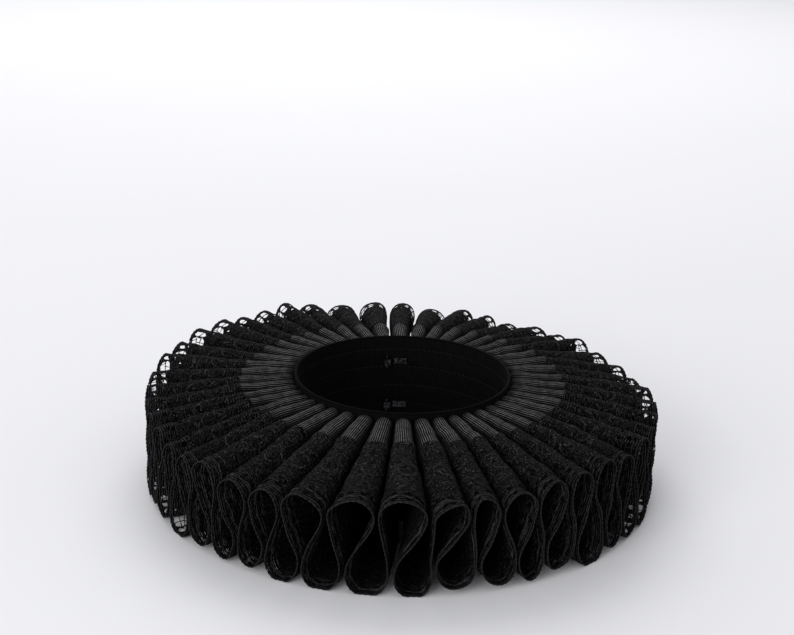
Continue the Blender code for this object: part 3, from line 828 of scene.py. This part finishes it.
def bandStitches(material):
    # rows of short stitches on the inside, each a small four-sided bead along the tape
    perRow = int(2 * pi * band["inner"] / band["stitchPitch"])
    starts = slitBearing + (np.arange(perRow) + 0.5) / perRow * 2 * pi
    heights = np.array(band["seamHeights"])
    share = np.array([-0.5, -0.36, 0.0, 0.36, 0.5])
    swell = np.array([0.25, 0.85, 1.0, 0.85, 0.25])
    bearing = starts[None, :, None] + share * band["stitchLength"] / band["inner"]
    bearing = np.broadcast_to(bearing, (len(heights),) + bearing.shape[1:]).reshape(-1, len(share))
    height = np.repeat(heights, perRow)[:, None]
    sides = band["stitchSides"]
    turn = np.arange(sides) * 2 * pi / sides
    thick = band["stitchHalf"] * swell[None, :, None]
    radius = band["inner"] + band["seamDip"] - band["stitchSink"] + thick * np.cos(turn)
    radius = np.broadcast_to(radius, bearing.shape + (sides,))
    points = np.stack([radius * np.cos(bearing[..., None]), radius * np.sin(bearing[..., None]),
                       height[..., None] + thick * np.sin(turn) + 0 * radius], axis=-1) * mm
    count, steps = bearing.shape
    start = (np.arange(count * steps) * sides).reshape(count, steps, 1)
    here, after = np.arange(sides), (np.arange(sides) + 1) % sides
    low, high = start[:, :-1], start[:, 1:]
    quads = np.stack([low + here, high + here, high + after, low + after], axis=-1).reshape(-1, 4)
    ends = np.concatenate([start[:, 0] + here, start[:, -1] + here[::-1]])
    uv = np.zeros((count, steps, sides, 2))
    uv[..., 0] = share[:, None] * band["stitchLength"] * mm
    return addPiece("bandStitches", points, quads.tolist() + ends.tolist(), uv, material, sharp=80)


# The ruff
clothMaterials = {"ribbon": ribbonMaterial(), "lace": laceMaterial(),
                  "cord": cordMaterial("twisted edge cord", cordLook["edge"]),
                  "thread": cordMaterial("twisted thread", cordLook["thread"]),
                  "band": bandMaterial("neck tape", bandLook["light"]),
                  "bandEdge": bandMaterial("neck binding", bandLook["edge"])}
ribbon = ribbonRuffle(clothMaterials["ribbon"])
for side in laceEnds:
    body = laceBody(side, clothMaterials["lace"])
    onIt = [laceBorder(side, clothMaterials["lace"]), laceEdge(side, clothMaterials["cord"]),
            laceWeb(side, clothMaterials["thread"]), laceCords(side, clothMaterials["lace"])]
tape, binding = neckband(clothMaterials["band"], clothMaterials["bandEdge"])
stitches = bandStitches(clothMaterials["thread"])
metal = catchMaterial()
for name in ("hook_upper", "hook_lower", "bar_upper", "bar_lower"):
    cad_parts[name].data.materials.clear()
    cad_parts[name].data.materials.append(metal)
print("ruff: built")

# Table, light and camera
room = {
    "floorHalf": 9.0, "floorColours": ((0.795, 0.795, 0.812), (0.815, 0.815, 0.83)),
    "worldColour": (0.965, 0.968, 1.0), "worldStrength": 0.62,
    "lights": {   # place, size and power of each soft light; all look at the ruff
        "back": ((-0.2, 1.9, 1.9), 2.2, 36.0),
        "left": ((-1.15, -1.85, 0.8), 1.4, 31.0),
    },
}


def floorMaterial():
    # one pale colour, a little lighter and darker by slow noise
    darker, lighter = room["floorColours"]
    material, tree, shader = newMaterial("pale table", darker, 0.9, 0.05)
    blendColours(tree, noiseOn(tree, objectPlaces(tree), 0.6, 1.0), darker, lighter, shader.inputs["Base Color"])
    return material


def makeRoom():
    half = room["floorHalf"]
    points = np.array([(-half, -half, 0), (half, -half, 0), (half, half, 0), (-half, half, 0)])
    mesh = bpy.data.meshes.new("table")
    mesh.from_pydata(points, [], [(0, 1, 2, 3)])
    mesh.materials.append(floorMaterial())
    floor = bpy.data.objects.new("table", mesh)
    bpy.context.scene.collection.objects.link(floor)
    world = bpy.data.worlds.new("studio")
    world.use_nodes = True
    background = world.node_tree.nodes["Background"]
    background.inputs["Color"].default_value = (*room["worldColour"], 1.0)
    background.inputs["Strength"].default_value = room["worldStrength"]
    bpy.context.scene.world = world
    for name, (place, size, power) in room["lights"].items():
        light = bpy.data.lights.new(name, "AREA")
        light.size, light.energy = size, power
        lamp = bpy.data.objects.new(name, light)
        lamp.location = place
        lamp.rotation_euler = (Vector((0, 0, 0.03)) - Vector(place)).to_track_quat("-Z", "Y").to_euler()
        bpy.context.scene.collection.objects.link(lamp)


view = {"width": 794, "focal": 1530, "target": (-0.0043, 0.0, 0.1028), "distance": 0.92,
        "down": radians(19.1), "roll": radians(1.7)}


def makeCamera():
    camera = bpy.data.objects.new("camera", bpy.data.cameras.new("camera"))
    camera.data.sensor_width = 36.0
    camera.data.lens = view["focal"] / view["width"] * camera.data.sensor_width
    back = Vector((0, -cos(view["down"]), sin(view["down"])))
    camera.location = Vector(view["target"]) + back * view["distance"]
    turn = (-back).to_track_quat("-Z", "Y").to_matrix() @ Matrix.Rotation(view["roll"], 3, "Z")
    camera.rotation_euler = turn.to_euler()
    bpy.context.scene.collection.objects.link(camera)
    bpy.context.scene.camera = camera


makeRoom()
makeCamera()
bpy.context.scene.view_settings.view_transform = "Standard"
print("room: table, lights and camera")
